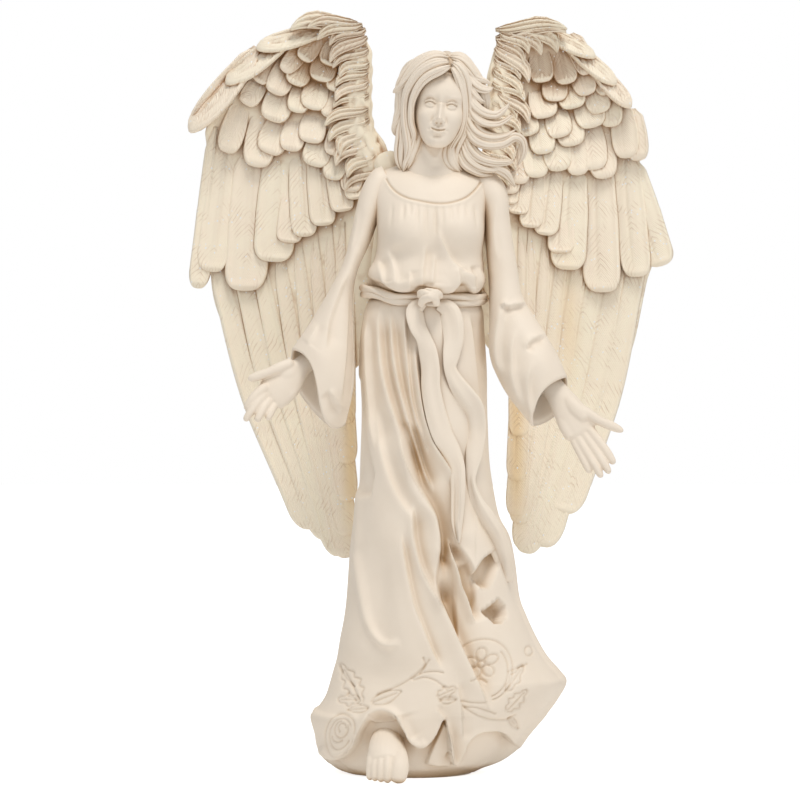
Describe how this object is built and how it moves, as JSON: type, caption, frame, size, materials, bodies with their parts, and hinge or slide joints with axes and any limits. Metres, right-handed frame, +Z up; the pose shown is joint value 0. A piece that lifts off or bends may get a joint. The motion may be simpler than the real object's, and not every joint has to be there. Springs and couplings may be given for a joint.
{
  "type": "angel figurine",
  "caption": "Cream cast-resin angel figurine: long gown, open arms with bell sleeves, knotted sash, pearly feathered wings.",
  "frame": {"origin": "On the underside of the felt pad, straight below the figure's neck.", "axes": "+Z is up, -Y is the way the figure faces, +X is towards the figure's left hand"},
  "size_m": [0.193, 0.0828, 0.3047],
  "materials": {
    "cream_resin": "matte cream resin with a faint tan wash in the recesses",
    "pearl_resin": "pearly pink-cream resin with fine glitter and a tan wash",
    "steel": "plain steel rod",
    "beech": "plain beech dowel",
    "felt": "pressed felt"
  },
  "bodies": {
    "root": {"gown_skirt": "cream_resin", "gown_bodice": "cream_resin", "head": "cream_resin", "hair": "cream_resin", "right_sleeve": "cream_resin", "left_sleeve": "cream_resin", "right_hand": "cream_resin", "left_hand": "cream_resin", "sash_band": "cream_resin", "sash_knot": "cream_resin", "right_sash_tail": "cream_resin", "left_sash_tail": "cream_resin", "right_foot": "cream_resin", "base_plug": "cream_resin", "right_wing": "pearl_resin", "left_wing": "pearl_resin", "neck_pin": "steel", "right_wing_pin_upper": "steel", "right_wing_pin_lower": "steel", "left_wing_pin_upper": "steel", "left_wing_pin_lower": "steel", "right_wrist_pin": "steel", "left_wrist_pin": "steel", "waist_dowel": "beech", "felt_pad": "felt"}
  },
  "joints": []
}
